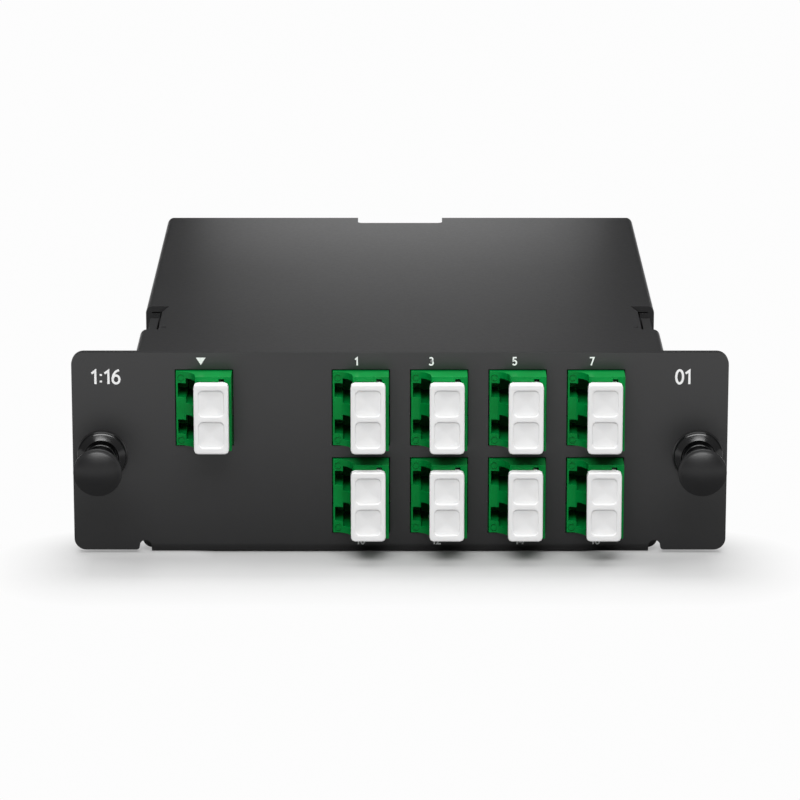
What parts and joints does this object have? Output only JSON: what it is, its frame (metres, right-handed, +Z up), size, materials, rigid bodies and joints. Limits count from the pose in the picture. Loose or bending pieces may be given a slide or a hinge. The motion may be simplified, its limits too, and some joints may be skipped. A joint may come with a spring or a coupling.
{
  "type": "plc fibre splitter cassette",
  "caption": "Plug-in optical splitter cassette: folded steel case with an eared front panel, green duplex adapters under white dust caps, and push-pull latches.",
  "frame": {"origin": "under the middle of the whole object, level with the floor's underside", "axes": "+X across the panel to the right, +Y to the rear, +Z up"},
  "size_m": [0.109, 0.1234, 0.0346],
  "materials": {
    "case_paint": "fine textured satin powder coat",
    "screw_steel": "black zinc",
    "spring_steel": "bright rolled",
    "adapter_green": "semi-gloss moulded",
    "cap_white": "soft satin",
    "latch_black": "glossy moulded nylon",
    "holder_white": "satin",
    "module_steel": "drawn"
  },
  "bodies": {
    "case": {"base_shell": "case_paint", "top_cover": "case_paint", "cover_screws": "screw_steel", "adapter_in": "adapter_green", "adapter_01_02": "adapter_green", "adapter_03_04": "adapter_green", "adapter_05_06": "adapter_green", "adapter_07_08": "adapter_green", "adapter_09_10": "adapter_green", "adapter_11_12": "adapter_green", "adapter_13_14": "adapter_green", "adapter_15_16": "adapter_green", "adapter_clip_in": "spring_steel", "adapter_clip_01_02": "spring_steel", "adapter_clip_03_04": "spring_steel", "adapter_clip_05_06": "spring_steel", "adapter_clip_07_08": "spring_steel", "adapter_clip_09_10": "spring_steel", "adapter_clip_11_12": "spring_steel", "adapter_clip_13_14": "spring_steel", "adapter_clip_15_16": "spring_steel", "grommet_left": "latch_black", "grommet_right": "latch_black", "splitter_module": "module_steel", "splitter_holder_left": "holder_white", "splitter_holder_right": "holder_white", "fibre_hub_left": "holder_white", "fibre_hub_right": "holder_white"},
    "cap_in": {"dust_cap_in": "cap_white"},
    "cap_01_02": {"dust_cap_01_02": "cap_white"},
    "cap_03_04": {"dust_cap_03_04": "cap_white"},
    "cap_05_06": {"dust_cap_05_06": "cap_white"},
    "cap_07_08": {"dust_cap_07_08": "cap_white"},
    "cap_09_10": {"dust_cap_09_10": "cap_white"},
    "cap_11_12": {"dust_cap_11_12": "cap_white"},
    "cap_13_14": {"dust_cap_13_14": "cap_white"},
    "cap_15_16": {"dust_cap_15_16": "cap_white"},
    "latch_left": {"plunger_left": "latch_black"},
    "latch_right": {"plunger_right": "latch_black"}
  },
  "joints": [
    {"name": "cap_pull_in", "type": "slide", "parent": "case", "child": "cap_in", "axis": [0, -1, 0], "range_m": [0, 0.012]},
    {"name": "cap_pull_01_02", "type": "slide", "parent": "case", "child": "cap_01_02", "axis": [0, -1, 0], "range_m": [0, 0.012]},
    {"name": "cap_pull_03_04", "type": "slide", "parent": "case", "child": "cap_03_04", "axis": [0, -1, 0], "range_m": [0, 0.012]},
    {"name": "cap_pull_05_06", "type": "slide", "parent": "case", "child": "cap_05_06", "axis": [0, -1, 0], "range_m": [0, 0.012]},
    {"name": "cap_pull_07_08", "type": "slide", "parent": "case", "child": "cap_07_08", "axis": [0, -1, 0], "range_m": [0, 0.012]},
    {"name": "cap_pull_09_10", "type": "slide", "parent": "case", "child": "cap_09_10", "axis": [0, -1, 0], "range_m": [0, 0.012]},
    {"name": "cap_pull_11_12", "type": "slide", "parent": "case", "child": "cap_11_12", "axis": [0, -1, 0], "range_m": [0, 0.012]},
    {"name": "cap_pull_13_14", "type": "slide", "parent": "case", "child": "cap_13_14", "axis": [0, -1, 0], "range_m": [0, 0.012]},
    {"name": "cap_pull_15_16", "type": "slide", "parent": "case", "child": "cap_15_16", "axis": [0, -1, 0], "range_m": [0, 0.012]},
    {"name": "latch_push_left", "type": "slide", "parent": "case", "child": "latch_left", "axis": [0, 1, 0], "range_m": [0, 0.006]},
    {"name": "latch_push_right", "type": "slide", "parent": "case", "child": "latch_right", "axis": [0, 1, 0], "range_m": [0, 0.006]}
  ]
}
